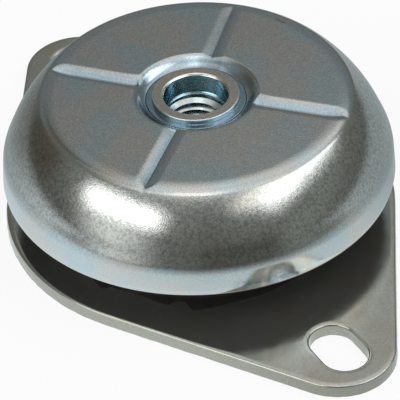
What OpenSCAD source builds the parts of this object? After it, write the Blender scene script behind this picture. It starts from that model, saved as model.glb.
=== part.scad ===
// Anti-vibration bell mount: a pressed steel bell bonded by a rubber spring to a two-slot base plate.
// Origin: centre of the base plate's underside. X runs through both fixing slots, Z is up.

/* [Base plate] */
// Thickness of the base plate
plate_t = 2.8; // [2:0.1:4]
// Diameter of the round middle of the plate
plate_d = 79.6; // [74:0.2:110]
// Distance between the centres of the two fixing slots
slot_pitch = 106.2; // [100:0.2:150]
// Radius of each rounded tip
tip_r = 11.5; // [10:0.1:16]
// How far the tip's centre sits inside the slot's centre
tip_inset = 0.4; // [0:0.1:2]
// Width of a fixing slot
slot_w = 9; // [6:0.1:11]
// Length of a fixing slot from end to end
slot_l = 13.2; // [11.5:0.1:16]
// Diameter of the hole in the middle of the plate
plate_hole_d = 38; // [36:0.5:44]

/* [Bell] */
// Height of the whole mount, unloaded
mount_h = 30.1; // [28.5:0.1:32]
// Diameter of the bell over its rim
bell_d = 79.3; // [74:0.1:110]
// Thickness of the bell's sheet
bell_t = 2.5; // [2:0.1:2.7]
// Free gap between the rim and the base plate
rim_gap = 8.2; // [6:0.1:9]
// How much narrower the rim band is at its top, on each side
band_taper = 0.3; // [0.1:0.05:0.8]
// Height of the rim band
band_h = 4.7; // [3:0.1:6]
// Step from the wall out to the top of the rim band
band_step = 1.3; // [0.8:0.05:2]
// Height of the flare between rim band and wall
flare_h = 3.7; // [2:0.1:5]
// Width of the shoulder, from the flat top to the wall
shoulder_w = 10.05; // [9.5:0.05:11]
// Radius of the soft edge of the flat top
soft_r = 15; // [8:0.1:20]
// Slope of the soft edge where the bend begins, in degrees
soft_slope = 7; // [3:0.5:10]
// Bend radius between the soft edge and the wall
bend_r = 3; // [2.8:0.1:4.5]
// Lean of the wall above the flare, in degrees from upright
wall_lean = 22; // [16:0.5:25]
// Rounding of the rim's lower edges
rim_round = 0.5; // [0.2:0.1:0.9]

/* [Recess and grooves] */
// Depth of the recess round the bush
recess_depth = 1.7; // [1.3:0.1:2]
// Width of the recess's sloping wall
recess_slope_w = 2.8; // [1.5:0.1:3]
// Width of the recess's flat floor
recess_floor_w = 0.5; // [0.4:0.1:1.2]
// Number of grooves pressed into the top
groove_count = 4; // [2:1:8]
// Direction of the first groove, in degrees from X
groove_angle = 43.5; // [0:0.5:90]
// Width of a groove at the top
groove_w = 4.2; // [2.5:0.1:5]
// Depth of a groove
groove_depth = 0.7; // [0.4:0.05:0.75]
// How far before the flat top's edge the ribs below the grooves end
rib_short = 1; // [0.5:0.1:3]

/* [Threaded bush] */
// How far the bush's face sits below the flat top
bush_drop = 0.5; // [0:0.05:0.8]
// Tapping bore of the M12 thread
bore_d = 10.2; // [8.4:0.1:10.4]
// Diameter of the counterbore above the thread
counterbore_d = 12.7; // [12.2:0.1:14]
// Depth of the counterbore
counterbore_depth = 3.6; // [2:0.1:6]
// Height of the seat's cone below the counterbore
seat_cone_h = 0.8; // [0.4:0.1:1.5]
// Chamfer at the mouth of the counterbore
mouth_chamfer = 0.35; // [0.2:0.05:0.6]
// Diameter of the bush's raised ring
ring_d = 17.4; // [16.4:0.1:18.4]
// Height of the raised ring above the shoulder of the neck
ring_h = 1.1; // [0.5:0.1:1.3]
// Chamfer round the top of the raised ring
ring_chamfer = 0.2; // [0.1:0.05:0.4]
// Diameter of the bush's neck, which fills the hole in the bell
neck_d = 20; // [19.2:0.1:24]
// Length of the bush
bush_l = 15; // [12:0.5:16]
// Diameter of the flange that bears on the underside of the bell
flange_d = 28; // [27.5:0.5:34]
// Thickness of the flange
flange_t = 3; // [2:0.1:4]
// Chamfer of the bush's lower end
bush_end_chamfer = 0.8; // [0.3:0.1:1.5]
// Radial clearance between the neck and the hole in the bell
neck_clear = 0.1; // [0.05:0.05:0.3]

/* [Rubber] */
// Diameter of the rubber where it meets the base plate
foot_d = 62.6; // [56:0.2:63]
// Height of the upright edge of the foot
foot_h = 1.6; // [1:0.1:3]
// Diameter of the thin skirt that the mould leaves round the foot
skirt_d = 65.4; // [64:0.2:68]
// Thickness of that skirt
skirt_t = 0.4; // [0.3:0.1:0.8]
// How far the side of the rubber is drawn in between plate and bell
waist = 1.8; // [0.5:0.1:2.5]
// Height above the flare at which the rubber leaves the bell's wall
bond_rise = 1; // [0.5:0.1:2.5]
// Diameter of the hollow at the base plate
hollow_d = 35; // [26:0.5:35.5]
// Diameter of the hollow below the bush
hollow_top_d = 22; // [20.5:0.5:25]
// How far the rubber stays above the underside of the plate
hollow_lift = 0.7; // [0.3:0.1:1.5]
// Gap left at the curved bonded faces
bond_gap = 0.05; // [0.02:0.01:0.1]

/* [Hidden] */
$fn = 96;
eps = 0.01;

steel = [0.72, 0.74, 0.76];
dull_steel = [0.62, 0.63, 0.60];
bright_steel = [0.80, 0.80, 0.80];
black_rubber = [0.09, 0.09, 0.09];

// Heights and radii that follow from the sizes above
tip_x = slot_pitch / 2 - tip_inset;
rim_z = plate_t + rim_gap;
rim_r = bell_d / 2;
band_r = rim_r - band_taper;
band_z = rim_z + band_h;
wall_r = band_r - band_step;
wall_z = band_z + flare_h;
flat_r = wall_r - shoulder_w;
neck_r = neck_d / 2;
hole_r = neck_r + neck_clear;
recess_floor_r = hole_r + recess_floor_w;
recess_r = recess_floor_r + recess_slope_w;
flange_top_z = mount_h - recess_depth - bell_t;
flange_z = flange_top_z - flange_t;
face_z = mount_h - bush_drop;
bush_z = face_z - bush_l;
slot_r = slot_w / 2;

// The shoulder is three arcs that touch: soft edge, bend and wall. The bend's centre and the wall's
// lower end are known, so the wall's radius follows from the direction of its normal there.
soft_c = [flat_r, mount_h - soft_r];
bend_c = soft_c + (soft_r - bend_r) * [sin(soft_slope), cos(soft_slope)];
bend_start_r = flat_r + soft_r * sin(soft_slope);
rib_end_r = flat_r - rib_short;
wall_end = [wall_r, wall_z];
wall_slope = 90 - wall_lean;
wall_n = [sin(wall_slope), cos(wall_slope)];
to_end = wall_end - bend_c;
big_r = (to_end * to_end - bend_r * bend_r) / (2 * (to_end * wall_n - bend_r));
wall_c = wall_end - big_r * wall_n;
join = (bend_c - wall_c) / norm(bend_c - wall_c);
join_slope = atan2(join[0], join[1]);

// How finely the curves are stepped
soft_steps = 4;
bend_steps = 10;
wall_steps = 10;
flare_steps = 10;
recess_steps = 10;
side_steps = 10;
tip_steps = 40;
middle_steps = 36;

// Arc round c from slope a0 to slope a1, where slope 0 is level and slope 90 is upright
function arc(c, r, a0, a1, n) =
    [for (i = [0:n]) let (a = a0 + (a1 - a0) * i / n) c + r * [sin(a), cos(a)]];

function tail(pts) = [for (i = [1:len(pts) - 1]) pts[i]];

// Shoulder at depth t below the outer skin, from the flat top down to the wall's lower end
function shoulder(t) = concat(
    arc(soft_c, soft_r - t, 0, soft_slope, soft_steps),
    tail(arc(bend_c, bend_r - t, soft_slope, join_slope, bend_steps)),
    tail(arc(wall_c, big_r - t, join_slope, wall_slope, wall_steps)));

// Flare from the wall's lower end a to the band's top b, in line with both where it meets them
function flare(a, b) =
    let (h = a[1] - b[1], w = b[0] - a[0], lead = h * tan(wall_lean), trail = h * band_taper / band_h)
    [for (i = [1:flare_steps]) let (u = i / flare_steps)
        [a[0] + lead * u * (1 - u) * (1 - u) + w * u * u * (3 - 2 * u) - trail * u * u * (1 - u),
            a[1] - h * u]];

// Sloping wall of the recess, from its floor up to the flat top, t below the outer skin
function recess(t) =
    [for (i = [0:recess_steps]) let (u = i / recess_steps)
        [recess_floor_r + recess_slope_w * u, mount_h - t - recess_depth * (1 + cos(180 * u)) / 2]];

function flip(pts) = [for (i = [len(pts) - 1:-1:0]) pts[i]];
function shift_r(pts, d) = [for (p = pts) p + [d, 0]];

// Height at which the rubber leaves the bell's inner wall
bond_z = wall_z + bond_rise;
bond_pts = [for (p = shoulder(bell_t)) if (p[1] > bond_z) p];

// Round middle and round tips joined by straight sides that touch both. lean is where they touch.
module plate_outline() {
    lean = acos((plate_d / 2 - tip_r) / tip_x);
    function round_pts(x, r, a0, a1, n) =
        [for (i = [0:n]) let (a = a0 + (a1 - a0) * i / n) [x + r * cos(a), r * sin(a)]];
    polygon(concat(
        round_pts(tip_x, tip_r, -lean, lean, tip_steps),
        round_pts(0, plate_d / 2, lean, 180 - lean, middle_steps),
        round_pts(-tip_x, tip_r, 180 - lean, 180 + lean, tip_steps),
        round_pts(0, plate_d / 2, 180 + lean, 360 - lean, middle_steps)));
}

module slot() {
    reach = slot_l / 2 - slot_r;
    for (s = [-1, 1]) {
        translate([s * reach, 0, -1]) cylinder(r = slot_r, h = plate_t + 2);
    }
    translate([-reach, -slot_r, -1]) cube([2 * reach, slot_w, plate_t + 2]);
}

module base_plate() {
    color(dull_steel) difference() {
        linear_extrude(plate_t) plate_outline();
        for (s = [-1, 1]) {
            translate([s * slot_pitch / 2, 0, 0]) slot();
        }
        translate([0, 0, -1]) cylinder(d = plate_hole_d, h = plate_t + 2);
    }
}

// V-shaped bars along the grooves, their flat side up at z = 0
module groove_bars(width, depth, from, to) {
    for (i = [0:groove_count - 1]) {
        rotate([0, 0, groove_angle + 360 / groove_count * i])
            translate([from, 0, 0]) rotate([90, 0, 90]) linear_extrude(to - from)
                polygon([[-width / 2, 0], [0, -depth], [width / 2, 0]]);
    }
}

module bell() {
    inner_r = rim_r - bell_t;
    inner_end = wall_end - bell_t * wall_n;
    cut_h = 1;
    grow = (groove_depth + cut_h) / groove_depth;
    color(steel) union() {
        difference() {
            rotate_extrude() polygon(concat(
                [[hole_r, mount_h - recess_depth]],
                recess(0),
                shoulder(0),
                flare(wall_end, [band_r, band_z]),
                [[rim_r, rim_z + rim_round], [rim_r - rim_round, rim_z],
                    [inner_r + rim_round, rim_z], [inner_r, rim_z + rim_round]],
                flip(flare(inner_end, [band_r - bell_t, band_z])),
                flip(shoulder(bell_t)),
                flip(recess(bell_t)),
                [[hole_r, mount_h - recess_depth - bell_t]]));
            // The cutter is taller than the groove, so it is wider at its own top
            translate([0, 0, mount_h + cut_h])
                groove_bars(groove_w * grow, groove_depth + cut_h, recess_floor_r, bend_start_r + bend_r);
        }
        translate([0, 0, mount_h - bell_t + eps])
            groove_bars(groove_w, groove_depth + eps, recess_r, rib_end_r);
    }
}

module threaded_bush() {
    bore_r = bore_d / 2;
    counter_r = counterbore_d / 2;
    ring_r = ring_d / 2;
    seat_z = face_z - counterbore_depth;
    color(bright_steel) rotate_extrude() polygon([
        [bore_r, bush_z], [bore_r, seat_z - seat_cone_h], [counter_r, seat_z],
        [counter_r, face_z - mouth_chamfer], [counter_r + mouth_chamfer, face_z],
        [ring_r - ring_chamfer, face_z], [ring_r, face_z - ring_chamfer], [ring_r, face_z - ring_h],
        [neck_r, face_z - ring_h], [neck_r, flange_top_z],
        [flange_d / 2, flange_top_z], [flange_d / 2, flange_z], [neck_r, flange_z],
        [neck_r, bush_z + bush_end_chamfer], [neck_r - bush_end_chamfer, bush_z]]);
}

module rubber_body() {
    foot_r = foot_d / 2;
    foot_z = plate_t + foot_h;
    edge = bond_pts[len(bond_pts) - 1] - [bond_gap, 0];
    top_z = mount_h - bell_t;
    lining_r = plate_hole_d / 2 - bond_gap;
    clear_r = neck_r + bond_gap;
    // The side runs from the foot to the bell's wall and is drawn in by the waist
    side = [for (i = [0:side_steps]) let (u = i / side_steps)
        [foot_r + (edge[0] - foot_r) * u - waist * sin(180 * u), foot_z + (edge[1] - foot_z) * u]];
    color(black_rubber) difference() {
        rotate_extrude() polygon(concat(
            [[hollow_d / 2, hollow_lift], [lining_r, hollow_lift], [lining_r, plate_t],
                [skirt_d / 2, plate_t], [skirt_d / 2, plate_t + skirt_t],
                [foot_r, plate_t + skirt_t]],
            side,
            flip(shift_r(bond_pts, -bond_gap)),
            [[recess_r + bond_gap, top_z], [recess_r + bond_gap, flange_top_z],
                [flange_d / 2 + bond_gap, flange_top_z], [flange_d / 2 + bond_gap, flange_z],
                [clear_r, flange_z], [clear_r, bush_z], [hollow_top_d / 2, bush_z]]));
        translate([0, 0, top_z + eps])
            groove_bars(groove_w + 2 * bond_gap, groove_depth + eps + bond_gap,
                recess_floor_r, rib_end_r + bond_gap);
    }
}

base_plate();
rubber_body();
bell();
threaded_bush();
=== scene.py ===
import math

import bpy
from mathutils import Matrix, Vector, kdtree, noise


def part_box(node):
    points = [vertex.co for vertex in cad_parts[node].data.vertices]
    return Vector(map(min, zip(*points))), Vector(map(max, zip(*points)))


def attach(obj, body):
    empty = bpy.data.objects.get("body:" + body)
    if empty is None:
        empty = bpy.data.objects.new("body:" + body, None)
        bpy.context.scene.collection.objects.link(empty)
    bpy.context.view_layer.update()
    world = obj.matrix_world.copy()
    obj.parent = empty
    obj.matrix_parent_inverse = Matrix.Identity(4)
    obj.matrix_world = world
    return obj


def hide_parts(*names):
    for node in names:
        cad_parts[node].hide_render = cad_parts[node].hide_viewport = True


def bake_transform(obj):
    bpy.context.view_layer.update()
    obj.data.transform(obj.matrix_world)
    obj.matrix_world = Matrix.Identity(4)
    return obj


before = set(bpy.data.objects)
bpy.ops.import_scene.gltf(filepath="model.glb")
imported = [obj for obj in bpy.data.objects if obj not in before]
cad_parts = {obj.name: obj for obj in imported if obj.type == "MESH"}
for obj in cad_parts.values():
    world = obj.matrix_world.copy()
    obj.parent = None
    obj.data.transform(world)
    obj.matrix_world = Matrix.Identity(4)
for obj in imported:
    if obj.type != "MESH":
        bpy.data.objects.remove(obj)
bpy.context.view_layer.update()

mm = 0.001
bellLow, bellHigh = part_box("bell")
bushLow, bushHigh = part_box("threaded_bush")
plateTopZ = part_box("base_plate")[1][2]
topZ = bellHigh[2]


# Camera, at the photograph's viewing angle
cameraView = dict(
    azimuth=61.71, elevation=39.61, roll=-2.59, distance=0.56864, lens=254.7, sensor=36,
    lookAt=(0, 0, 0.018), right=-0.00012, up=-0.0122,
)


def lookWay(azimuth, elevation):
    # from the mount towards a place in the studio
    azimuth = math.radians(azimuth)
    elevation = math.radians(elevation)
    return Vector((math.sin(azimuth) * math.cos(elevation), -math.cos(azimuth) * math.cos(elevation),
                   math.sin(elevation)))


def addCamera():
    azimuth = math.radians(cameraView["azimuth"])
    roll = math.radians(cameraView["roll"])
    back = lookWay(cameraView["azimuth"], cameraView["elevation"])
    level = Vector((math.cos(azimuth), math.sin(azimuth), 0))
    rising = back.cross(level)
    right = math.cos(roll) * level + math.sin(roll) * rising
    up = back.cross(right)
    place = Vector(cameraView["lookAt"]) + back * cameraView["distance"]
    place += level * cameraView["right"] + rising * cameraView["up"]
    turn = Matrix((right, up, back)).transposed()
    bpy.ops.object.camera_add(location=place, rotation=turn.to_euler())
    camera = bpy.context.active_object
    camera.name = "photoCamera"
    camera.data.lens = cameraView["lens"]
    camera.data.sensor_width = cameraView["sensor"]
    camera.data.clip_start = 0.01
    bpy.context.scene.camera = camera


addCamera()
print("camera placed")


# Small helpers for modelling by hand
def deselectAll():
    bpy.ops.object.select_all(action="DESELECT")


def pick(piece):
    deselectAll()
    piece.select_set(True)
    bpy.context.view_layer.objects.active = piece


def traceOutline(name, points):
    # one vertex is pulled from point to point and back to the first
    deselectAll()
    bpy.ops.mesh.primitive_plane_add(size=mm, location=(0, 0, 0))
    piece = bpy.context.active_object
    piece.name = name
    piece.data.name = name
    bpy.ops.object.mode_set(mode="EDIT")
    bpy.ops.mesh.select_all(action="SELECT")
    bpy.ops.mesh.merge(type="CENTER")
    bpy.ops.transform.translate(value=points[0])
    bpy.ops.mesh.select_mode(type="VERT")
    for here, there in zip(points, points[1:] + points[:1]):
        step = Vector(there) - Vector(here)
        bpy.ops.mesh.extrude_vertices_move(TRANSFORM_OT_translate={"value": step})
    bpy.ops.mesh.select_all(action="SELECT")
    bpy.ops.mesh.remove_doubles(threshold=0.001 * mm)
    bpy.ops.object.mode_set(mode="OBJECT")
    return piece


def spinRound(piece, steps):
    pick(piece)
    bpy.ops.object.mode_set(mode="EDIT")
    bpy.ops.mesh.select_all(action="SELECT")
    bpy.ops.mesh.spin(steps=steps, angle=2 * math.pi, center=(0, 0, 0), axis=(0, 0, 1))
    bpy.ops.mesh.select_all(action="SELECT")
    bpy.ops.mesh.remove_doubles(threshold=0.002 * mm)
    bpy.ops.mesh.normals_make_consistent(inside=False)
    bpy.ops.object.mode_set(mode="OBJECT")


def smoothBelow(piece, degrees):
    pick(piece)
    bpy.ops.object.shade_smooth_by_angle(angle=math.radians(degrees))


def arcPoints(centre, radius, fromSlope, toSlope, count):
    # slope 0 is level and 90 is upright, as on the side of a dome
    points = []
    for i in range(count + 1):
        slope = math.radians(fromSlope + (toSlope - fromSlope) * i / count)
        points.append((centre[0] + radius * math.sin(slope), centre[1] + radius * math.cos(slope)))
    return points


def linePoints(start, end, count):
    return [(start[0] + (end[0] - start[0]) * i / count, start[1] + (end[1] - start[1]) * i / count)
            for i in range(1, count)]


def upright(points):
    return [(r, 0, z) for r, z in points]


def zeroToOne(value):
    return min(max(value, 0), 1)


# Bell, one pressed sheet
bellForm = dict(
    sheet=2.5 * mm, bandTaper=0.3 * mm, bandStep=1.3 * mm, bandHigh=4.7 * mm, flareHigh=3.7 * mm,
    shoulderWide=10.05 * mm, softRadius=15 * mm, softSlope=7, bend=3 * mm, wallLean=22,
    rimRound=0.5 * mm, holeRadius=10.1 * mm, recessFloor=0.15 * mm, recessSlope=2.2 * mm,
    recessSoft=0.3, recessDeep=1.7 * mm, steps=480,
)
# the four grooves were pressed one by one, a little uneven
grooveForm = dict(
    places=[(43.5, 0.8 * mm), (135, 0.36 * mm), (222.75, 0.8 * mm), (311.25, 0.8 * mm)],
    half=2.2 * mm, power=1.5, tipFrom=25 * mm, tipTo=31 * mm, tipDeep=0.55, reach=31.6 * mm,
    inner=10.4 * mm, innerRise=2 * mm, innerWide=0.45, innerTo=16 * mm, blend=2.5,
)


def flarePoints(start, end, count):
    # in line with the wall above and with the band below
    high = start[1] - end[1]
    lead = high * math.tan(math.radians(bellForm["wallLean"]))
    trail = high * bellForm["bandTaper"] / bellForm["bandHigh"]
    points = []
    for i in range(1, count + 1):
        u = i / count
        out = lead * u * (1 - u) ** 2 + (end[0] - start[0]) * u * u * (3 - 2 * u) - trail * u * u * (1 - u)
        points.append((start[0] + out, start[1] - high * u))
    return points


def wallLine():
    # where the band and the wall above it begin, and the way the wall faces there
    bandTop = Vector((bellHigh[0] - bellForm["bandTaper"], bellLow[2] + bellForm["bandHigh"]))
    wallEnd = bandTop + Vector((-bellForm["bandStep"], bellForm["flareHigh"]))
    slope = math.radians(90 - bellForm["wallLean"])
    return bandTop, wallEnd, Vector((math.sin(slope), math.cos(slope)))


def shoulderPoints(depth, fine):
    # soft edge, bend and wall are three arcs that touch, depth below the outer skin
    bandTop, wallEnd, wallNormal = wallLine()
    softRadius = bellForm["softRadius"]
    bendRadius = bellForm["bend"]
    softSlope = bellForm["softSlope"]
    softCentre = Vector((wallEnd.x - bellForm["shoulderWide"], topZ - softRadius))
    lean = math.radians(softSlope)
    bendCentre = softCentre + (softRadius - bendRadius) * Vector((math.sin(lean), math.cos(lean)))
    toEnd = wallEnd - bendCentre
    wallRadius = (toEnd.dot(toEnd) - bendRadius ** 2) / (2 * (toEnd.dot(wallNormal) - bendRadius))
    wallCentre = wallEnd - wallRadius * wallNormal
    join = bendCentre - wallCentre
    joinSlope = math.degrees(math.atan2(join.x, join.y))
    softPoints = arcPoints(softCentre, softRadius - depth, 0, softSlope, fine // 2)
    bendPoints = arcPoints(bendCentre, bendRadius - depth, softSlope, joinSlope, fine)
    wallPoints = arcPoints(wallCentre, wallRadius - depth, joinSlope, 90 - bellForm["wallLean"], fine)
    return softPoints + bendPoints[1:] + wallPoints[1:]


def recessPoints(depth, count):
    floorRadius = bellForm["holeRadius"] + bellForm["recessFloor"]
    points = []
    for i in range(count + 1):
        share = i / count
        rise = share - bellForm["recessSoft"] * math.sin(2 * math.pi * share) / (2 * math.pi)
        points.append((floorRadius + bellForm["recessSlope"] * share,
                       topZ - depth - bellForm["recessDeep"] * (1 - rise)))
    return points


def bellOutline():
    sheet = bellForm["sheet"]
    rimRadius = bellHigh[0]
    innerRadius = rimRadius - sheet
    rimZ = bellLow[2]
    rounding = bellForm["rimRound"]
    holeRadius = bellForm["holeRadius"]
    bandTop, wallEnd, wallNormal = wallLine()
    outer = shoulderPoints(0, 18)
    recess = recessPoints(0, 14)
    points = [(holeRadius, topZ - bellForm["recessDeep"])] + recess
    points += linePoints(recess[-1], outer[0], 36) + outer
    points += flarePoints(wallEnd, bandTop, 14)
    rimOuter = (rimRadius, rimZ + rounding)
    points += linePoints(bandTop, rimOuter, 4)
    points += arcPoints((rimRadius - rounding, rimZ + rounding), rounding, 90, 180, 5)
    points += arcPoints((innerRadius + rounding, rimZ + rounding), rounding, 180, 270, 5)
    innerEnd = wallEnd - sheet * wallNormal
    points += reversed(flarePoints(innerEnd, bandTop - Vector((sheet, 0)), 8))
    points += reversed(shoulderPoints(sheet, 8))
    innerRecess = recessPoints(sheet, 8)
    points += linePoints(points[-1], innerRecess[-1], 20)
    points += reversed(innerRecess)
    points.append((holeRadius, topZ - bellForm["recessDeep"] - sheet))
    return upright(points)


def grooveFall(x, y):
    # depth of the pressed grooves at a place on the top, shallower towards their tips
    fall = 0
    radius = math.hypot(x, y)
    near = zeroToOne((grooveForm["innerTo"] - radius) / (grooveForm["innerTo"] - grooveForm["inner"]))
    half = grooveForm["half"] * (1 + grooveForm["innerWide"] * near ** 2)
    start = zeroToOne((radius - grooveForm["inner"]) / grooveForm["innerRise"])
    for angle, full in grooveForm["places"]:
        way = math.radians(angle)
        ahead = x * math.cos(way) + y * math.sin(way)
        across = abs(y * math.cos(way) - x * math.sin(way)) / half
        if ahead > 0 and across < 1:
            share = zeroToOne((ahead - grooveForm["tipFrom"]) / (grooveForm["tipTo"] - grooveForm["tipFrom"]))
            deep = full * start * (1 - (1 - grooveForm["tipDeep"]) * share ** 2)
            fall = max(fall, deep * (1 - across) ** grooveForm["power"])
    return fall


def pressGrooves(bell):
    # a groove runs softly into the recess, so the two depths are blended
    innerTop = topZ - bellForm["sheet"]
    blend = grooveForm["blend"]
    for vertex in bell.data.vertices:
        place = vertex.co
        fall = grooveFall(place.x, place.y)
        if fall and math.hypot(place.x, place.y) < grooveForm["reach"]:
            level = topZ if place.z > innerTop + 0.5 * mm else innerTop
            depth = max(level - place.z, 0)
            place.z = level - (depth ** blend + fall ** blend) ** (1 / blend)


def makeBell():
    bell = traceOutline("bell_shell", bellOutline())
    spinRound(bell, bellForm["steps"])
    pressGrooves(bell)
    smoothBelow(bell, 40)
    return bell


bell = makeBell()
print("bell made:", len(bell.data.polygons), "faces")


# Threaded bush, turned from bar
bushForm = dict(
    neck=10 * mm, ring=8.7 * mm, ringHigh=1.1 * mm, ringRound=0.22 * mm, edgeRound=0.12 * mm,
    counterbore=6.35 * mm, counterDeep=4.3 * mm, mouthChamfer=0.35 * mm,
    flangeThick=3 * mm, endChamfer=0.8 * mm, flatMargin=0.04 * mm, steps=192,
    threadOuter=6.02 * mm, threadInner=5.1 * mm, threadEnd=0.6 * mm, threadStart=0.9 * mm,
    pitch=1.75 * mm, turns=5, threadSteps=72,
)


def heldFlat(points, margin):
    # two more points close to the ends keep a flat face flat where it is shaded
    held = [points[0]]
    for (r0, z0), (r1, z1) in zip(points, points[1:]):
        length = math.hypot(r1 - r0, z1 - z0)
        if length > 6 * margin:
            share = margin / length
            held += [(r0 + (r1 - r0) * part, z0 + (z1 - z0) * part) for part in (share, 1 - share)]
        held.append((r1, z1))
    return held


def bushOutline():
    neck = bushForm["neck"]
    ring = bushForm["ring"]
    flange = bushHigh[0]
    flangeTop = topZ - bellForm["recessDeep"] - bellForm["sheet"]
    flangeLow = flangeTop - bushForm["flangeThick"]
    counter = bushForm["counterbore"]
    faceZ = bushHigh[2]
    seatZ = faceZ - bushForm["counterDeep"]
    stepZ = faceZ - bushForm["ringHigh"]
    chamfer = bushForm["mouthChamfer"]
    end = bushForm["endChamfer"]
    soft = bushForm["edgeRound"]
    ringRound = bushForm["ringRound"]
    wall = bushForm["threadOuter"]
    lowZ = bushLow[2]
    threadEnd = bushForm["threadEnd"]
    points = [
        (wall, lowZ + threadEnd), (wall, seatZ - 0.4 * mm), (counter - 0.15 * mm, seatZ - 0.2 * mm),
        (counter, seatZ), (counter, faceZ - chamfer - soft), (counter + 0.06 * mm, faceZ - chamfer),
        (counter + chamfer - 0.05 * mm, faceZ - 0.08 * mm), (counter + chamfer + soft, faceZ),
    ]
    points += arcPoints((ring - ringRound, faceZ - ringRound), ringRound, 0, 90, 5)
    points += [
        (ring, stepZ + soft), (ring + 0.04 * mm, stepZ + 0.04 * mm), (ring + soft, stepZ),
        (neck - soft, stepZ), (neck - 0.04 * mm, stepZ - 0.04 * mm), (neck, stepZ - soft),
        (neck, flangeTop), (flange - soft, flangeTop), (flange, flangeTop - soft), (flange, flangeLow + soft),
        (flange - soft, flangeLow), (neck, flangeLow), (neck, lowZ + end), (neck - end, lowZ),
        (wall + threadEnd, lowZ),
    ]
    return upright(heldFlat(points, bushForm["flatMargin"]))


def makeThread():
    # one turn's ridge, then wound up the bore
    root = bushForm["threadOuter"] + 0.1 * mm
    crest = bushForm["threadInner"]
    half = bushForm["pitch"] / 2
    lowZ = bushLow[2] + bushForm["threadStart"]
    ridge = [(root, 0, lowZ - half * 0.98), (crest, 0, lowZ - half * 0.16),
             (crest, 0, lowZ + half * 0.16), (root, 0, lowZ + half * 0.98)]
    thread = traceOutline("bush_thread_ridge", ridge)
    pick(thread)
    wind = thread.modifiers.new("wind", "SCREW")
    wind.axis = "Z"
    wind.angle = 2 * math.pi
    wind.screw_offset = bushForm["pitch"]
    wind.iterations = bushForm["turns"]
    wind.steps = bushForm["threadSteps"]
    wind.render_steps = bushForm["threadSteps"]
    wind.use_merge_vertices = False
    bpy.ops.object.modifier_apply(modifier=wind.name)
    bpy.ops.object.mode_set(mode="EDIT")
    bpy.ops.mesh.select_all(action="SELECT")
    bpy.ops.mesh.fill_holes(sides=4)
    bpy.ops.mesh.select_all(action="SELECT")
    bpy.ops.mesh.normals_make_consistent(inside=False)
    bpy.ops.object.mode_set(mode="OBJECT")
    smoothBelow(thread, 35)
    return thread


def makeBush():
    bush = traceOutline("bush_body", bushOutline())
    spinRound(bush, bushForm["steps"])
    smoothBelow(bush, 28)
    return bush


bush = makeBush()
thread = makeThread()
print("bush made:", len(bush.data.polygons) + len(thread.data.polygons), "faces")


# Rubber spring with the torn skirt round its foot
rubberForm = dict(
    foot=31.3 * mm, footHigh=1.6 * mm, skirtThick=0.45 * mm, waist=1.8 * mm,
    bellEdge=(34.8 * mm, 20.4 * mm), hollow=17.5 * mm, hollowTop=11 * mm, lift=0.7 * mm,
    lining=18.95 * mm, gap=0.05 * mm, steps=360, skirtEdge=32 * mm, edgeThick=0.12 * mm,
    tornFrom=31.8 * mm, nearCeiling=1.5 * mm, sideSteps=16,
    skirt=[(-180, 32.2), (-150, 32.8), (-140, 32.0), (-112, 32.4), (-108, 33.4), (-96, 32.2), (-84, 32.0),
           (-72, 32.3), (-65.2, 33.7), (-64.2, 32.3), (-55, 31.9), (-50, 32.2), (-41, 33.4), (-39.6, 32.2),
           (-35.4, 32.1), (-32.4, 34.7), (-26, 34.0), (-19.9, 33.3), (-8, 32.7), (6, 32.1), (40, 32.8),
           (43, 32.0), (75, 32.4), (100, 33.2), (104, 32.1), (150, 32.5), (180, 32.2)],
)


def skirtRadius(angle):
    table = rubberForm["skirt"]
    for (a0, r0), (a1, r1) in zip(table, table[1:]):
        if a0 <= angle <= a1:
            return (r0 + (r1 - r0) * (angle - a0) / (a1 - a0)) * mm
    return rubberForm["foot"]


def rubberOutline():
    gap = rubberForm["gap"]
    foot = rubberForm["foot"]
    footZ = plateTopZ + rubberForm["footHigh"]
    skirtZ = plateTopZ + rubberForm["skirtThick"]
    ceiling = topZ - bellForm["sheet"]
    edge = rubberForm["bellEdge"]
    flange = bushHigh[0] + gap
    flangeTop = ceiling - bellForm["recessDeep"]
    flangeLow = flangeTop - bushForm["flangeThick"]
    recessEdge = bellForm["holeRadius"] + bellForm["recessFloor"] + bellForm["recessSlope"] + gap
    inner = bushForm["neck"] + gap
    points = [(rubberForm["hollow"], rubberForm["lift"]), (rubberForm["lining"], rubberForm["lift"]),
              (rubberForm["lining"], plateTopZ)]
    skirtEdge = rubberForm["skirtEdge"]
    points += linePoints(points[-1], (skirtEdge, plateTopZ), 8)
    points += [(skirtEdge, plateTopZ), (skirtEdge, plateTopZ + rubberForm["edgeThick"]),
               (foot + 0.1 * mm, skirtZ)]
    for i in range(rubberForm["sideSteps"] + 1):
        share = i / rubberForm["sideSteps"]
        points.append((foot + (edge[0] - foot) * share - rubberForm["waist"] * math.sin(math.pi * share),
                       footZ + (edge[1] - footZ) * share))
    shoulder = [(r - gap, z) for r, z in shoulderPoints(bellForm["sheet"], 8) if z > edge[1]]
    points += reversed(shoulder)
    points += linePoints(points[-1], (recessEdge, ceiling), 12)
    points += [(recessEdge, ceiling), (recessEdge, flangeTop), (flange, flangeTop), (flange, flangeLow),
               (inner, flangeLow), (inner, bushLow[2]), (rubberForm["hollowTop"], bushLow[2])]
    points += linePoints(points[-1], points[0], 8)
    return upright(points)


def shapeRubber(rubber):
    # the skirt's edge is torn, and the moulded faces are never quite even
    ceiling = topZ - bellForm["sheet"]
    for vertex in rubber.data.vertices:
        place = vertex.co
        radius = math.hypot(place.x, place.y)
        if radius > rubberForm["tornFrom"] and place.z < plateTopZ + 0.2 * mm:
            angle = math.degrees(math.atan2(place.y, place.x))
            grow = skirtRadius(angle) / radius
            place.x *= grow
            place.y *= grow
        if place.z > ceiling - rubberForm["nearCeiling"] and radius < grooveForm["reach"]:
            place.z = min(place.z, ceiling - grooveFall(place.x, place.y))


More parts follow.
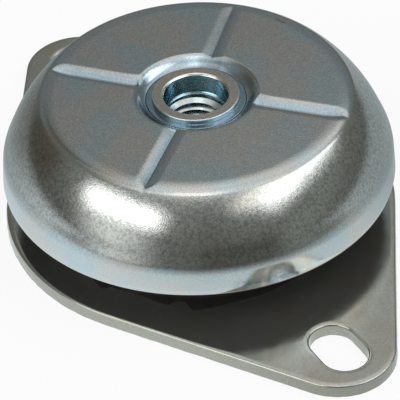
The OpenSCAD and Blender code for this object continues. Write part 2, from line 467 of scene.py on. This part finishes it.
def makeRubber():
    rubber = traceOutline("rubber_spring", rubberOutline())
    spinRound(rubber, rubberForm["steps"])
    shapeRubber(rubber)
    smoothBelow(rubber, 40)
    return rubber


rubber = makeRubber()
print("rubber made:", len(rubber.data.polygons), "faces")


# Base plate, one sheared and punched sheet. Each level is an offset inwards and a height.
plateForm = dict(
    middle=39.8 * mm, tip=11.5 * mm, tipAt=52.7 * mm, slotAt=53.1 * mm, slotWide=9 * mm, slotLong=13.2 * mm,
    hole=19 * mm, spacing=0.7 * mm,
    levels=[(0.16, 0.0), (0.03, 0.12), (0.0, 0.45), (0.02, 0.9), (0.03, 1.35), (0.06, 1.8), (0.08, 2.15),
            (0.13, 2.42), (0.24, 2.62), (0.42, 2.74), (0.7, 2.8), (1.3, 2.8)],
    roughDepth=0.09 * mm, brokenHigh=1.9, fineGrain=0.9, longWave=0.25,
)


def roundStretch(x, radius, fromAngle, toAngle):
    count = 2 * int(radius * math.radians(toAngle - fromAngle) / plateForm["spacing"] / 2)
    return [(x + radius * math.cos(math.radians(fromAngle + (toAngle - fromAngle) * i / count)),
             radius * math.sin(math.radians(fromAngle + (toAngle - fromAngle) * i / count)), 0)
            for i in range(count + 1)]


def straightStretch(start, end):
    count = max(2, int((Vector(end) - Vector(start)).length / plateForm["spacing"]))
    return [tuple(Vector(start).lerp(Vector(end), i / count)) for i in range(1, count)]


def joined(stretches):
    points = []
    for i, stretch in enumerate(stretches):
        points += stretch
        following = stretches[(i + 1) % len(stretches)]
        points += straightStretch(stretch[-1], following[0])
    return points


def plateEdge():
    lean = math.degrees(math.acos((plateForm["middle"] - plateForm["tip"]) / plateForm["tipAt"]))
    x = plateForm["tipAt"]
    return joined([roundStretch(x, plateForm["tip"], -lean, lean),
                   roundStretch(0, plateForm["middle"], lean, 180 - lean),
                   roundStretch(-x, plateForm["tip"], 180 - lean, 180 + lean),
                   roundStretch(0, plateForm["middle"], 180 + lean, 360 - lean)])


def slotEdge(side):
    radius = plateForm["slotWide"] / 2
    reach = plateForm["slotLong"] / 2 - radius
    x = plateForm["slotAt"] * side
    return joined([roundStretch(x + reach, radius, -90, 90), roundStretch(x - reach, radius, 90, 270)])


def holeEdge():
    return roundStretch(0, plateForm["hole"], 0, 360)[:-1]


def nearest(places):
    tree = kdtree.KDTree(len(places))
    for i, place in enumerate(places):
        tree.insert(place, i)
    tree.balance()
    return tree


def shearRoughness(place, height):
    # the sheared edge is broken below, in fine grains on longer waves
    broken = max(0, 1 - height / plateForm["brokenHigh"])
    x, y = place.x / mm, place.y / mm
    fine, long = plateForm["fineGrain"], plateForm["longWave"]
    rough = noise.noise(Vector((x * fine, y * fine, height * 2.5))) * broken
    rough += noise.noise(Vector((x * long, y * long, 7))) * broken * 0.6
    return rough * plateForm["roughDepth"]


def makeWall(name, edge, intoMetal):
    # the edge is raised level by level, moved into the metal where the shear rolled it
    count = len(edge)
    normals = []
    for i in range(count):
        onward = Vector(edge[(i + 1) % count]) - Vector(edge[i - 1])
        normals.append(Vector((-onward.y, onward.x, 0)).normalized() * intoMetal)
    wall = traceOutline(name, edge)
    pick(wall)
    ring = [Vector(place) for place in edge]
    for number, (inset, height) in enumerate(plateForm["levels"]):
        if number:
            bpy.ops.object.mode_set(mode="EDIT")
            bpy.ops.mesh.extrude_edges_move(TRANSFORM_OT_translate={"value": (0, 0, 0)})
            bpy.ops.object.mode_set(mode="OBJECT")
        before = nearest(ring)
        for vertex in wall.data.vertices:
            if vertex.select:
                i = before.find(vertex.co)[1]
                here = Vector(edge[i])
                ring[i] = here + normals[i] * (inset * mm + shearRoughness(here, height))
                ring[i].z = height * mm
                vertex.co = ring[i]
    return wall


def openEdges(plate, height):
    pick(plate)
    bpy.ops.object.mode_set(mode="EDIT")
    bpy.ops.mesh.select_mode(type="EDGE")
    bpy.ops.mesh.select_all(action="DESELECT")
    bpy.ops.mesh.select_non_manifold(extend=False)
    bpy.ops.object.mode_set(mode="OBJECT")
    corners = plate.data.vertices
    return [edge for edge in plate.data.edges
            if edge.select and all(abs(corners[v].co.z - height) < 0.01 * mm for v in edge.vertices)]


def selectOnly(mode, group, chosen):
    bpy.ops.object.mode_set(mode="EDIT")
    bpy.ops.mesh.select_mode(type=mode)
    bpy.ops.mesh.select_all(action="DESELECT")
    bpy.ops.object.mode_set(mode="OBJECT")
    for index in chosen:
        group[index].select = True
    bpy.ops.object.mode_set(mode="EDIT")


def closeLevel(plate, height):
    # the face is split along the middle line, from hole to hole
    corners = plate.data.vertices
    middle = {v for edge in openEdges(plate, height) for v in edge.vertices if abs(corners[v].co.y) < 0.1 * mm}
    middle = sorted(middle, key=lambda v: corners[v].co.x)
    for pair in (middle[0:2], middle[2:4], middle[4:6], middle[6:8]):
        selectOnly("VERT", plate.data.vertices, pair)
        bpy.ops.mesh.edge_face_add()
        bpy.ops.object.mode_set(mode="OBJECT")
    for side in (1, -1):
        corners = plate.data.vertices
        half = [edge.index for edge in openEdges(plate, height)
                if all(corners[v].co.y * side > -0.1 * mm for v in edge.vertices)]
        selectOnly("EDGE", plate.data.edges, half)
        bpy.ops.mesh.edge_face_add()
        bpy.ops.object.mode_set(mode="OBJECT")


def makePlate():
    walls = [makeWall("base_plate_sheet", plateEdge(), 1), makeWall("slotFront", slotEdge(1), -1),
             makeWall("slotBack", slotEdge(-1), -1), makeWall("middleHole", holeEdge(), -1)]
    deselectAll()
    for wall in walls:
        wall.select_set(True)
    plate = walls[0]
    bpy.context.view_layer.objects.active = plate
    bpy.ops.object.join()
    for level in (plateForm["levels"][0], plateForm["levels"][-1]):
        closeLevel(plate, level[1] * mm)
    bpy.ops.object.mode_set(mode="EDIT")
    bpy.ops.mesh.select_mode(type="VERT")
    bpy.ops.mesh.select_all(action="SELECT")
    bpy.ops.mesh.normals_make_consistent(inside=False)
    bpy.ops.object.mode_set(mode="OBJECT")
    smoothBelow(plate, 38)
    return plate


plate = makePlate()
print("plate made:", len(plate.data.polygons), "faces")


# Finishes
def addNode(tree, kind, **values):
    node = tree.nodes.new(kind)
    for key, value in values.items():
        if hasattr(node, key):
            setattr(node, key, value)
        else:
            node.inputs[key].default_value = value
    return node


def newFinish(name, metal):
    material = bpy.data.materials.new(name)
    material.use_nodes = True
    tree = material.node_tree
    shader = tree.nodes["Principled BSDF"]
    shader.inputs["Metallic"].default_value = metal
    coords = tree.nodes.new("ShaderNodeTexCoord")
    return material, tree, shader, coords.outputs["Object"]


def noiseAt(tree, coords, scale, detail, roughness):
    node = addNode(tree, "ShaderNodeTexNoise", Scale=scale, Detail=detail, Roughness=roughness)
    tree.links.new(coords, node.inputs["Vector"])
    return node.outputs["Fac"]


def ramp(tree, factor, stops):
    node = tree.nodes.new("ShaderNodeValToRGB")
    elements = node.color_ramp.elements
    elements[0].position, elements[0].color = stops[0][0], (*stops[0][1], 1)
    elements[1].position, elements[1].color = stops[-1][0], (*stops[-1][1], 1)
    for place, colour in stops[1:-1]:
        elements.new(place).color = (*colour, 1)
    tree.links.new(factor, node.inputs["Fac"])
    return node.outputs["Color"]


def span(tree, factor, low, high, fromLow, fromHigh):
    node = tree.nodes.new("ShaderNodeMapRange")
    node.inputs["From Min"].default_value = fromLow
    node.inputs["From Max"].default_value = fromHigh
    node.inputs["To Min"].default_value = low
    node.inputs["To Max"].default_value = high
    tree.links.new(factor, node.inputs["Value"])
    return node.outputs["Result"]


def roughBy(tree, shader, pattern, look):
    tree.links.new(span(tree, pattern, *look["rough"], 0.3, 0.7), shader.inputs["Roughness"])


def bumpOn(tree, height, distance, strength=None, under=None):
    node = addNode(tree, "ShaderNodeBump", Strength=1.0, Distance=distance)
    tree.links.new(height, node.inputs["Height"])
    if strength is not None:
        tree.links.new(strength, node.inputs["Strength"])
    if under is not None:
        tree.links.new(under, node.inputs["Normal"])
    return node.outputs["Normal"]


def multiplied(tree, one, other):
    node = addNode(tree, "ShaderNodeMath", operation="MULTIPLY")
    tree.links.new(one, node.inputs[0])
    tree.links.new(other, node.inputs[1])
    return node.outputs[0]


def mixed(tree, factor, one, other):
    node = addNode(tree, "ShaderNodeMix", data_type="RGBA", blend_type="MIX")
    tree.links.new(factor, node.inputs[0])
    for socket, value in ((node.inputs[6], one), (node.inputs[7], other)):
        if isinstance(value, tuple):
            socket.default_value = (*value, 1)
        else:
            tree.links.new(value, socket)
    return node.outputs[2]


def levelled(tree, coords):
    node = addNode(tree, "ShaderNodeVectorMath", operation="MULTIPLY")
    tree.links.new(coords, node.inputs[0])
    node.inputs[1].default_value = (1, 1, 0)
    return node.outputs[0]


def radiusOf(tree, coords):
    length = addNode(tree, "ShaderNodeVectorMath", operation="LENGTH")
    tree.links.new(levelled(tree, coords), length.inputs[0])
    return length.outputs["Value"]


def heightOf(tree, coords):
    parts = tree.nodes.new("ShaderNodeSeparateXYZ")
    tree.links.new(coords, parts.inputs["Vector"])
    return parts.outputs["Z"]


def speckled(tree, coords, colour, scale, dark, light):
    # fine grains of the plating, a little darker and lighter
    grains = ramp(tree, noiseAt(tree, coords, scale, 2, 0.6), [(0.35, (dark,) * 3), (0.65, (light,) * 3)])
    full = addNode(tree, "ShaderNodeMix", data_type="RGBA", blend_type="MULTIPLY")
    full.inputs[0].default_value = 1.0
    tree.links.new(colour, full.inputs[6])
    tree.links.new(grains, full.inputs[7])
    return full.outputs[2]


def along(tree, direction, way):
    node = addNode(tree, "ShaderNodeVectorMath", operation="DOT_PRODUCT")
    tree.links.new(direction, node.inputs[0])
    node.inputs[1].default_value = way
    return node.outputs["Value"]


def fade(tree, value, limit, soft):
    # 1 inside the limit on both sides, with a soft edge
    size = addNode(tree, "ShaderNodeMath", operation="ABSOLUTE")
    tree.links.new(value, size.inputs[0])
    node = addNode(tree, "ShaderNodeMapRange", interpolation_type="SMOOTHSTEP")
    node.inputs["From Min"].default_value = limit + soft
    node.inputs["From Max"].default_value = limit - soft
    tree.links.new(size.outputs[0], node.inputs["Value"])
    return node.outputs["Result"]


def wayMask(tree, coords, angle, half):
    # 1 in the directions round the axis that lie near the angle, with an edge of four degrees
    facing = addNode(tree, "ShaderNodeVectorMath", operation="NORMALIZE")
    tree.links.new(levelled(tree, coords), facing.inputs[0])
    turn = math.radians(angle)
    towards = along(tree, facing.outputs[0], (math.cos(turn), math.sin(turn), 0))
    return span(tree, towards, 0, 1, math.cos(math.radians(half + 4)), math.cos(math.radians(half)))


def shifted(tree, value, amount):
    node = addNode(tree, "ShaderNodeMath", operation="SUBTRACT")
    tree.links.new(value, node.inputs[0])
    node.inputs[1].default_value = amount
    return node.outputs[0]


bellLook = dict(
    pale=(0.53, 0.6, 0.62), deep=(0.615, 0.59, 0.56), patch=110,
    drawn=(0.61, 0.62, 0.6), fleck=(0.425, 0.43, 0.41), fleckScale=1500,
    drawnFrom=(16 * mm, 19 * mm), drawnTo=(28.3 * mm, 29.7 * mm),
    # the hollow colours are painted shade in the recess and the grooves
    hollow=(0.45, 0.56, 0.64), hollowShadeBelow=(0.5 * mm, 0.05 * mm), hollowShadeWithin=(28 * mm, 31 * mm),
    backGrooveShade=(0.3, 0.38, 0.43), backGrooveShadeAt=135, backGrooveShadeWide=10,
    # a dark colour painted for a reflection on the band and for the shade in a dent
    paintedDarkening=(0.3, 0.36, 0.37), bandReflectionAt=-10, bandReflectionWide=7, bandReflectionHigh=(12.4 * mm, 1.2 * mm), bandReflectionGrain=700,
    dent=(-11.15 * mm, 26.4 * mm), dentTurn=20, dentLong=1.2 * mm, dentWide=0.2 * mm, dentSoft=0.2 * mm,
    speckle=3200, dark=0.86, light=1.13, bandGrain=0.3, bandEnd=(14 * mm, 18 * mm),
    grain=4200, grainDeep=0.015 * mm, wave=160, waveDeep=0.01 * mm, rough=(0.06, 0.14), roughGrain=1500,
)


def dentShadeMask(tree, coords):
    # a short knock in the top, painted as a dark mark of shade rather than shaped
    x, y = bellLook["dent"]
    turn = math.radians(bellLook["dentTurn"])
    forward = Vector((math.cos(turn), math.sin(turn), 0))
    aside = Vector((-math.sin(turn), math.cos(turn), 0))
    place = Vector((x, y, 0))
    lengthwise = shifted(tree, along(tree, coords, forward), place.dot(forward))
    sideways = shifted(tree, along(tree, coords, aside), place.dot(aside))
    soft = bellLook["dentSoft"]
    return multiplied(tree, fade(tree, lengthwise, bellLook["dentLong"], 2 * soft),
                      fade(tree, sideways, bellLook["dentWide"], soft))


def makeBellZinc():
    material, tree, shader, coords = newFinish("zinc_bell", 1.0)
    patches = noiseAt(tree, coords, bellLook["patch"], 2, 0.45)
    colour = ramp(tree, patches, [(0.38, bellLook["deep"]), (0.62, bellLook["pale"])])
    # the drawn shoulder is warmer, with darker flecks
    height = heightOf(tree, coords)
    shoulder = multiplied(tree, span(tree, height, 0, 1, *bellLook["drawnFrom"]),
                          span(tree, height, 1, 0, *bellLook["drawnTo"]))
    flecks = ramp(tree, noiseAt(tree, coords, bellLook["fleckScale"], 4, 0.7),
                  [(0.4, bellLook["fleck"]), (0.56, bellLook["drawn"])])
    colour = mixed(tree, shoulder, colour, flecks)
    # painted shade: the recess and the grooves are painted darker and bluer than the top
    below = span(tree, height, 1, 0, *(topZ - depth for depth in bellLook["hollowShadeBelow"]))
    within = span(tree, radiusOf(tree, coords), 1, 0, *bellLook["hollowShadeWithin"])
    below = multiplied(tree, below, within)
    colour = mixed(tree, below, colour, bellLook["hollow"])
    # painted shade: the shallow groove at the back is painted darker still
    backGrooveShade = multiplied(tree, below, wayMask(tree, coords, bellLook["backGrooveShadeAt"], bellLook["backGrooveShadeWide"]))
    colour = mixed(tree, backGrooveShade, colour, bellLook["backGrooveShade"])
    # painted reflection: a dark blotched reflection low on the front of the band
    level, half = bellLook["bandReflectionHigh"]
    paintedDarkening = multiplied(tree, wayMask(tree, coords, bellLook["bandReflectionAt"], bellLook["bandReflectionWide"]),
                       fade(tree, shifted(tree, height, level), half, half))
    blots = noiseAt(tree, coords, bellLook["bandReflectionGrain"], 3, 0.6)
    paintedDarkening = multiplied(tree, paintedDarkening, span(tree, blots, 0.2, 1, 0.35, 0.55))
    colour = mixed(tree, paintedDarkening, colour, bellLook["paintedDarkening"])
    # the drawn band is smoother than the rest
    coarse = span(tree, height, bellLook["bandGrain"], 1, *bellLook["bandEnd"])
    grains = speckled(tree, coords, colour, bellLook["speckle"], bellLook["dark"], bellLook["light"])
    colour = mixed(tree, coarse, colour, grains)
    # painted shade: the dent is painted dark
    colour = mixed(tree, dentShadeMask(tree, coords), colour, bellLook["paintedDarkening"])
    tree.links.new(colour, shader.inputs["Base Color"])
    polish = noiseAt(tree, coords, bellLook["roughGrain"], 3, 0.6)
    roughBy(tree, shader, polish, bellLook)
    grain = noiseAt(tree, coords, bellLook["grain"], 2, 0.55)
    waves = bumpOn(tree, noiseAt(tree, coords, bellLook["wave"], 2, 0.5), bellLook["waveDeep"])
    tree.links.new(bumpOn(tree, grain, bellLook["grainDeep"], coarse, waves), shader.inputs["Normal"])
    return material


# colours of the bush by radius: thread, counterbore, chamfer, face, edge, side and flange. The pale chamfer and
# edge are painted highlights, and the dark blue counterbore and side are painted shade
bushLook = dict(
    rough=(0.14, 0.24), roughGrain=1400, speckle=2200, dark=0.85, light=1.08,
    ringScale=2600, ringDeep=0.002 * mm, widest=12 * mm,
    rings=[(0, (0.6, 0.68, 0.7)), (5.9, (0.6, 0.68, 0.7)), (6.15, (0.26, 0.46, 0.54)),
           (6.37, (0.26, 0.46, 0.54)), (6.42, (0.86, 0.83, 0.76)), (6.78, (0.86, 0.83, 0.76)),
           (6.9, (0.58, 0.53, 0.48)), (8.45, (0.58, 0.53, 0.48)), (8.52, (0.86, 0.83, 0.76)),
           (8.66, (0.86, 0.83, 0.76)), (8.69, (0.3, 0.42, 0.5)), (10.2, (0.3, 0.42, 0.5)),
           (12, (0.6, 0.62, 0.62))],
)


def makeBushZinc():
    material, tree, shader, coords = newFinish("zinc_bush", 1.0)
    widest = bushLook["widest"]
    colour = ramp(tree, span(tree, radiusOf(tree, coords), 0, 1, 0, widest),
                  [(radius * mm / widest, tint) for radius, tint in bushLook["rings"]])
    colour = speckled(tree, coords, colour, bushLook["speckle"], bushLook["dark"], bushLook["light"])
    tree.links.new(colour, shader.inputs["Base Color"])
    polish = noiseAt(tree, coords, bushLook["roughGrain"], 2, 0.5)
    roughBy(tree, shader, polish, bushLook)
    rings = addNode(tree, "ShaderNodeTexWave", wave_type="RINGS", rings_direction="Z",
                    Scale=bushLook["ringScale"], Distortion=0.6, Detail=1.0)
    tree.links.new(coords, rings.inputs["Vector"])
    tree.links.new(bumpOn(tree, rings.outputs["Fac"], bushLook["ringDeep"]), shader.inputs["Normal"])
    return material


plateLook = dict(
    pale=(0.52, 0.54, 0.52), deep=(0.48, 0.455, 0.39), patch=130, metal=0.91,
    edge=(0.4, 0.38, 0.32), edgeTop=(2.2 * mm, 2.6 * mm), speckle=2600, dark=0.9, light=1.06,
    grain=2400, grainDeep=0.005 * mm, wave=70, waveDeep=0.02 * mm, rough=(0.12, 0.2), roughGrain=300,
)


def makePlateZinc():
    material, tree, shader, coords = newFinish("zinc_plate", plateLook["metal"])
    patches = noiseAt(tree, coords, plateLook["patch"], 4, 0.6)
    colour = ramp(tree, patches, [(0.3, plateLook["deep"]), (0.7, plateLook["pale"])])
    # the sheared edge is duller than the faces
    lower = span(tree, heightOf(tree, coords), 1, 0, *plateLook["edgeTop"])
    colour = mixed(tree, lower, colour, plateLook["edge"])
    colour = speckled(tree, coords, colour, plateLook["speckle"], plateLook["dark"], plateLook["light"])
    tree.links.new(colour, shader.inputs["Base Color"])
    polish = noiseAt(tree, coords, plateLook["roughGrain"], 3, 0.6)
    roughBy(tree, shader, polish, plateLook)
    waves = bumpOn(tree, noiseAt(tree, coords, plateLook["wave"], 2, 0.5), plateLook["waveDeep"])
    grain = noiseAt(tree, coords, plateLook["grain"], 2, 0.55)
    tree.links.new(bumpOn(tree, grain, plateLook["grainDeep"], under=waves), shader.inputs["Normal"])
    return material


rubberLook = dict(
    deep=(0.016, 0.016, 0.015), pale=(0.026, 0.026, 0.025), patch=400,
    rough=(0.55, 0.8), roughGrain=900, grain=1600, grainDeep=0.02 * mm,
)


def makeBlackRubber():
    material, tree, shader, coords = newFinish("black_rubber", 0.0)
    patches = noiseAt(tree, coords, rubberLook["patch"], 4, 0.6)
    tree.links.new(ramp(tree, patches, [(0.3, rubberLook["deep"]), (0.75, rubberLook["pale"])]),
                   shader.inputs["Base Color"])
    polish = noiseAt(tree, coords, rubberLook["roughGrain"], 2, 0.5)
    roughBy(tree, shader, polish, rubberLook)
    grain = noiseAt(tree, coords, rubberLook["grain"], 3, 0.5)
    tree.links.new(bumpOn(tree, grain, rubberLook["grainDeep"]), shader.inputs["Normal"])
    return material


def dress(piece, material):
    piece.data.materials.clear()
    piece.data.materials.append(material)


bushZinc = makeBushZinc()
dress(bell, makeBellZinc())
dress(bush, bushZinc)
dress(thread, bushZinc)
dress(plate, makePlateZinc())
dress(rubber, makeBlackRubber())
print("finishes made")


# Pieces on their bodies
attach(bell, "bell_top")
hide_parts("bell")
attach(bush, "bell_top")
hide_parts("threaded_bush")
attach(thread, "bell_top")
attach(plate, "base")
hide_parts("base_plate")
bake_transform(rubber)
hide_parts("rubber_body")


# Studio: lamps light the floor and the rubber, and the room's patches are what the metal mirrors
lamps = [
    dict(name="lampLeft", azimuth=8, elevation=34, distance=0.8, wide=0.66, high=0.62, radiance=2.2),
    dict(name="lampRight", azimuth=140, elevation=54, distance=0.8, wide=1.05, high=0.5, radiance=1.9),
]


def addLamp(form):
    way = lookWay(form["azimuth"], form["elevation"])
    bpy.ops.object.light_add(type="AREA", location=way * form["distance"],
                             rotation=way.to_track_quat("Z", "Y").to_euler())
    lamp = bpy.context.active_object
    lamp.name = form["name"]
    lamp.visible_glossy = False
    lamp.data.shape = "RECTANGLE"
    lamp.data.size = form["wide"]
    lamp.data.size_y = form["high"]
    lamp.data.energy = form["radiance"] * math.pi * form["wide"] * form["high"]


room = dict(
    ambient=0.35,
    rise=[(-1.0, (0.16, 0.17, 0.16)), (0.05, (0.16, 0.17, 0.16)), (0.3, (0.21, 0.22, 0.2)),
          (0.5, (0.27, 0.28, 0.265)), (0.7, (0.35, 0.37, 0.36)), (0.85, (1.12, 1.1, 1.04)),
          (0.95, (0.92, 0.93, 0.9)), (1.0, (1.09, 1.09, 1.06))],
    patches=[
        dict(azimuth=69.7, elevation=12.7, turn=8.5, wide=4, high=27, soft=20, colour=(0.15, 0.15, 0.14)),
        dict(azimuth=-67.8, elevation=28.4, turn=40, wide=19, high=35, soft=13, colour=(0.1, 0.09, 0.07)),
        dict(azimuth=131, elevation=14.2, turn=36, wide=28, high=12, soft=9.7, colour=(0.25, 0.27, 0.25)),
        dict(azimuth=9.7, elevation=12.5, turn=29, wide=16, high=18.7, soft=15, colour=(1.0, 1.04, 1.02)),
        dict(azimuth=10.8, elevation=29.3, turn=5, wide=21.7, high=6.6, soft=7, colour=(3.4, 3.42, 3.4)),
        dict(azimuth=137, elevation=38.7, turn=-2, wide=28, high=7.2, soft=9, colour=(3.1, 3.17, 3.2)),
        dict(azimuth=128.7, elevation=43.7, turn=-4, wide=33.4, high=3.5, soft=7, colour=(1.9, 1.82, 1.7)),
        dict(azimuth=56.6, elevation=66, turn=0, wide=11, high=11, soft=3.5, colour=(1.6, 1.62, 1.56)),
        dict(azimuth=-158, elevation=60.3, turn=-54, wide=22.4, high=19.8, soft=10, colour=(0.87, 0.87, 0.85)),
        dict(azimuth=-54.6, elevation=45.4, turn=37.5, wide=25.6, high=15.4, soft=20, colour=(0.19, 0.18, 0.15)),
        dict(azimuth=-118, elevation=30, turn=0, wide=40, high=7, soft=8, colour=(0.2, 0.22, 0.23)),
        dict(azimuth=-26, elevation=3, turn=0, wide=9, high=5, soft=7, colour=(0.16, 0.16, 0.15)),
        dict(azimuth=-60, elevation=3, turn=0, wide=12, high=6, soft=6, colour=(0.1, 0.095, 0.08)),
        dict(azimuth=80, elevation=4, turn=0, wide=22, high=5, soft=6, colour=(0.1, 0.1, 0.09)),
    ],
)


def switched(tree, switch, one, other):
    # the second shader where the switch is 1
    node = tree.nodes.new("ShaderNodeMixShader")
    tree.links.new(switch, node.inputs[0])
    tree.links.new(one, node.inputs[1])
    tree.links.new(other, node.inputs[2])
    return node.outputs[0]


def patchMask(tree, direction, patch):
    centre = lookWay(patch["azimuth"], patch["elevation"])
    level = Vector((0, 0, 1)).cross(centre).normalized()
    above = centre.cross(level)
    turn = math.radians(patch["turn"])
    right = level * math.cos(turn) + above * math.sin(turn)
    up = above * math.cos(turn) - level * math.sin(turn)
    sideways = addNode(tree, "ShaderNodeMath", operation="ARCTAN2")
    tree.links.new(along(tree, direction, right), sideways.inputs[0])
    tree.links.new(along(tree, direction, centre), sideways.inputs[1])
    raised = addNode(tree, "ShaderNodeMath", operation="ARCSINE")
    tree.links.new(along(tree, direction, up), raised.inputs[0])
    soft = math.radians(patch["soft"])
    return multiplied(tree, fade(tree, sideways.outputs[0], math.radians(patch["wide"]), soft),
                      fade(tree, raised.outputs[0], math.radians(patch["high"]), soft))


def makeWorld():
    world = bpy.data.worlds.new("studio")
    bpy.context.scene.world = world
    world.use_nodes = True
    tree = world.node_tree
    tree.nodes.clear()
    output = tree.nodes.new("ShaderNodeOutputWorld")
    coords = tree.nodes.new("ShaderNodeTexCoord")
    direction = coords.outputs["Generated"]
    colour = ramp(tree, span(tree, heightOf(tree, direction), 0, 1, -1, 1),
                  [((z + 1) / 2, tint) for z, tint in room["rise"]])
    for patch in room["patches"]:
        colour = mixed(tree, patchMask(tree, direction, patch), colour, patch["colour"])
    mirrored = addNode(tree, "ShaderNodeBackground", Strength=1.0)
    tree.links.new(colour, mirrored.inputs["Color"])
    white = addNode(tree, "ShaderNodeBackground", Color=(1, 1, 1, 1), Strength=1.0)
    soft = addNode(tree, "ShaderNodeBackground", Color=(1, 1, 1, 1), Strength=room["ambient"])
    path = tree.nodes.new("ShaderNodeLightPath")
    around = switched(tree, path.outputs["Is Glossy Ray"], soft.outputs[0], mirrored.outputs[0])
    around = switched(tree, path.outputs["Is Camera Ray"], around, white.outputs[0])
    tree.links.new(around, output.inputs["Surface"])


# what the metal mirrors of the floor is a painted glow, brightest beside the mount on the camera's side
floorLook = dict(
    size=6, matt=(0.86, 0.87, 0.88), shown=[(0.08, 0.9), (0.2, 1.0)],
    brightWay=(0.77, -0.64), farWay=(0.0, -1.0),
    near=[(0.0, (0.34, 0.38, 0.39)), (0.35, (0.42, 0.47, 0.48)), (0.6, (0.76, 0.84, 0.87)),
          (0.85, (0.9, 1.0, 1.05)), (1.0, (0.95, 1.06, 1.1))],
    far=[(0.0, (0.36, 0.41, 0.42)), (0.1, (0.46, 0.52, 0.53)), (0.25, (0.3, 0.34, 0.33)),
         (0.42, (0.23, 0.25, 0.24)), (0.6, (0.2, 0.22, 0.21)), (0.75, (0.22, 0.24, 0.23)),
         (0.88, (0.42, 0.46, 0.47)), (1.0, (0.72, 0.8, 0.83))],
    hidden=[(0.028, (0.0, 0.0, 0.0)), (0.038, (1.0, 1.0, 1.0))], under=(0.01, 0.01, 0.01),
    horizon=(0.13, 0.135, 0.12), horizonAt=(0.22, 0.9),
    fading=[(0.045, (0.0, 0.0, 0.0)), (0.07, (0.45, 0.45, 0.45)), (0.1, (0.7, 0.7, 0.7)),
            (0.15, (0.88, 0.88, 0.88)), (0.3, (1.0, 1.0, 1.0))],
)


def makeFloor():
    deselectAll()
    bpy.ops.mesh.primitive_plane_add(size=floorLook["size"], location=(0, 0, -0.05 * mm))
    floor = bpy.context.active_object
    floor.name = "studio_floor"
    material = bpy.data.materials.new("pale_floor")
    material.use_nodes = True
    tree = material.node_tree
    tree.nodes.clear()
    output = tree.nodes.new("ShaderNodeOutputMaterial")
    coords = tree.nodes.new("ShaderNodeTexCoord").outputs["Object"]
    away = addNode(tree, "ShaderNodeVectorMath", operation="LENGTH")
    tree.links.new(coords, away.inputs[0])
    distance = away.outputs["Value"]
    facing = addNode(tree, "ShaderNodeVectorMath", operation="NORMALIZE")
    tree.links.new(coords, facing.inputs[0])
    sides = []
    for way, stops in (("brightWay", "near"), ("farWay", "far")):
        turned = along(tree, facing.outputs[0], (*floorLook[way], 0))
        sides.append(ramp(tree, span(tree, turned, 0, 1, -1, 1), floorLook[stops]))
    mirrored = mixed(tree, ramp(tree, distance, floorLook["fading"]), *sides)
    distant = span(tree, distance, 0, 1, *floorLook["horizonAt"])
    mirrored = mixed(tree, distant, mirrored, floorLook["horizon"])
    # no light reaches the floor below the mount
    hidden = ramp(tree, distance, floorLook["hidden"])
    mirrored = mixed(tree, hidden, floorLook["under"], mirrored)
    matt = addNode(tree, "ShaderNodeBsdfDiffuse", Color=(*floorLook["matt"], 1))
    glow = addNode(tree, "ShaderNodeEmission", Color=(1, 1, 1, 1), Strength=1.0)
    # painted light: glossy rays see this glow instead of the lit floor, with painted shade below the mount
    shine = addNode(tree, "ShaderNodeEmission", Strength=1.0)
    tree.links.new(mirrored, shine.inputs["Color"])
    # white to the camera, apart from a part of the shadow beside the mount
    path = tree.nodes.new("ShaderNodeLightPath")
    (beside, less), (beyond, whole) = floorLook["shown"]
    share = span(tree, distance, less, whole, beside, beyond)
    share = multiplied(tree, path.outputs["Is Camera Ray"], share)
    surface = switched(tree, share, matt.outputs[0], glow.outputs[0])
    surface = switched(tree, path.outputs["Is Glossy Ray"], surface, shine.outputs[0])
    tree.links.new(surface, output.inputs["Surface"])
    dress(floor, material)


for form in lamps:
    addLamp(form)
makeWorld()
makeFloor()
bpy.context.scene.view_settings.view_transform = "Standard"
print("studio lit")
